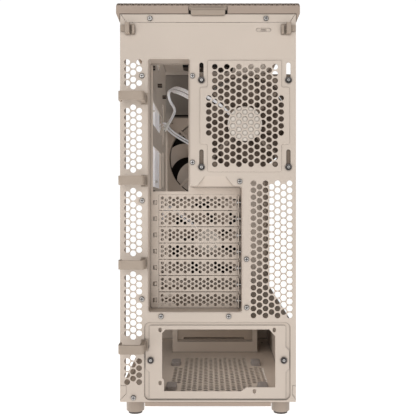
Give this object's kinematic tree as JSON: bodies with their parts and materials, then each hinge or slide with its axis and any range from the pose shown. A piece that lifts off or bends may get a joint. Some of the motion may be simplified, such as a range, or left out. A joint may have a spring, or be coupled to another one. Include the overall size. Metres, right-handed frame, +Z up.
{
  "type": "desktop computer tower",
  "caption": "Open mid-tower computer chassis with perforated rear panel, set-back card slots, supply bay, fans, hinged mesh top, pull-off front, cable gates and drive sleds.",
  "frame": {"origin": "middle of the bounding box's footprint, on the surface that the feet stand on", "axes": "+Z up, -Y out of the rear panel, +X to the right as seen from the rear"},
  "size_m": [0.222, 0.4286, 0.508],
  "materials": {
    "case_paint": "matte powder coat, warm beige",
    "frame_paint": "matte powder coat, warm beige",
    "cover_plastic": "fine matte taupe",
    "clip_plastic": "matte taupe, moulded",
    "mesh_paint": "matte powder-coated perforated sheet",
    "fan_plastic": "matte beige, moulded",
    "rotor_plastic": "light beige, moulded",
    "screw_steel": "nickel plated",
    "post_plating": "dark plated",
    "cable_white": "soft white jacket",
    "plug_white": "white moulded",
    "pad_foam": "grey foam rubber",
    "foot_plastic": "matte greige",
    "foot_rubber": "soft dark rubber",
    "port_plastic": "fine matte dark taupe",
    "button_plastic": "satin",
    "filter_mesh": "woven nylon mesh"
  },
  "bodies": {
    "chassis": {"rear_panel": "case_paint", "slot_frame": "case_paint", "psu_bracket": "case_paint", "bottom_pan": "case_paint", "top_frame": "case_paint", "board_tray": "frame_paint", "psu_shroud": "frame_paint", "front_frame": "case_paint", "drive_cage": "frame_paint", "slot_screws": "screw_steel", "psu_bracket_screws": "screw_steel", "panel_screws": "screw_steel", "rear_fan_screws": "screw_steel", "board_standoffs": "post_plating", "gate_brackets": "clip_plastic", "panel_catches": "clip_plastic", "rear_fan_frame": "fan_plastic", "front_fan_frame_upper": "fan_plastic", "front_fan_frame_lower": "fan_plastic", "port_module": "port_plastic", "foot_rear_left": "foot_plastic", "foot_rear_right": "foot_plastic", "foot_front_left": "foot_plastic", "foot_front_right": "foot_plastic", "foot_pads": "foot_rubber", "filter_rails": "case_paint", "psu_pads": "pad_foam", "fan_loom": "cable_white", "port_loom": "cable_white", "button_loom": "cable_white", "cord_plugs": "plug_white", "rear_fan_lead": "cable_white", "front_fan_lead_upper": "cable_white", "front_fan_lead_lower": "cable_white", "slot_cover_1": "case_paint", "slot_cover_2": "case_paint", "slot_cover_3": "case_paint", "slot_cover_4": "case_paint", "slot_cover_5": "case_paint", "slot_cover_6": "case_paint", "slot_cover_7": "case_paint"},
    "rear_rotor": {"rear_fan_rotor": "rotor_plastic"},
    "front_rotor_upper": {"front_fan_rotor_upper": "rotor_plastic"},
    "front_rotor_lower": {"front_fan_rotor_lower": "rotor_plastic"},
    "top_lid": {"top_cover": "cover_plastic", "top_mesh": "mesh_paint", "pull_tab": "clip_plastic"},
    "front_door": {"front_cover": "cover_plastic", "front_chin": "cover_plastic", "front_mesh": "mesh_paint"},
    "intake_filter": {"filter_frame": "cover_plastic", "filter_mesh": "filter_mesh"},
    "sled_lower": {"drive_sled_lower": "clip_plastic"},
    "sled_upper": {"drive_sled_upper": "clip_plastic"},
    "power_key": {"power_button": "button_plastic"},
    "reset_key": {"reset_button": "button_plastic"},
    "gate_1": {"cable_gate_1": "clip_plastic"},
    "gate_2": {"cable_gate_2": "clip_plastic"},
    "gate_3": {"cable_gate_3": "clip_plastic"},
    "gate_4": {"cable_gate_4": "clip_plastic"}
  },
  "joints": [
    {"name": "top_cover_lift", "type": "hinge", "parent": "chassis", "child": "top_lid", "pos_m": [0, 0.18605, 0.5076], "axis": [-1, 0, 0], "range_deg": [0, 40]},
    {"name": "front_cover_pull", "type": "slide", "parent": "chassis", "child": "front_door", "axis": [0, 1, 0], "range_m": [0, 0.03]},
    {"name": "filter_slide", "type": "slide", "parent": "chassis", "child": "intake_filter", "axis": [0, -1, 0], "range_m": [0, 0.2]},
    {"name": "sled_lower_slide", "type": "slide", "parent": "chassis", "child": "sled_lower", "axis": [-1, 0, 0], "range_m": [0, 0.15]},
    {"name": "sled_upper_slide", "type": "slide", "parent": "chassis", "child": "sled_upper", "axis": [-1, 0, 0], "range_m": [0, 0.15]},
    {"name": "rear_fan_spin", "type": "hinge", "parent": "chassis", "child": "rear_rotor", "pos_m": [0.0446, -0.1738, 0.362], "axis": [0, 1, 0], "continuous": true},
    {"name": "front_fan_upper_spin", "type": "hinge", "parent": "chassis", "child": "front_rotor_upper", "pos_m": [0, 0.1714, 0.3435], "axis": [0, 1, 0], "continuous": true},
    {"name": "front_fan_lower_spin", "type": "hinge", "parent": "chassis", "child": "front_rotor_lower", "pos_m": [0, 0.1714, 0.2015], "axis": [0, 1, 0], "continuous": true},
    {"name": "power_press", "type": "slide", "parent": "chassis", "child": "power_key", "axis": [0, -1, 0], "range_m": [0, 0.001], "stiffness_N_per_m": 400},
    {"name": "reset_press", "type": "slide", "parent": "chassis", "child": "reset_key", "axis": [0, -1, 0], "range_m": [0, 0.001], "stiffness_N_per_m": 400},
    {"name": "gate_1_swing", "type": "hinge", "parent": "chassis", "child": "gate_1", "pos_m": [-0.0775, -0.1913, 0.3921], "axis": [0, 0, 1], "range_deg": [0, 90]},
    {"name": "gate_2_swing", "type": "hinge", "parent": "chassis", "child": "gate_2", "pos_m": [-0.0775, -0.1913, 0.2929], "axis": [0, 0, 1], "range_deg": [0, 90]},
    {"name": "gate_3_swing", "type": "hinge", "parent": "chassis", "child": "gate_3", "pos_m": [-0.0775, -0.1913, 0.1937], "axis": [0, 0, 1], "range_deg": [0, 90]},
    {"name": "gate_4_swing", "type": "hinge", "parent": "chassis", "child": "gate_4", "pos_m": [-0.0775, -0.1913, 0.0945], "axis": [0, 0, 1], "range_deg": [0, 90]}
  ]
}
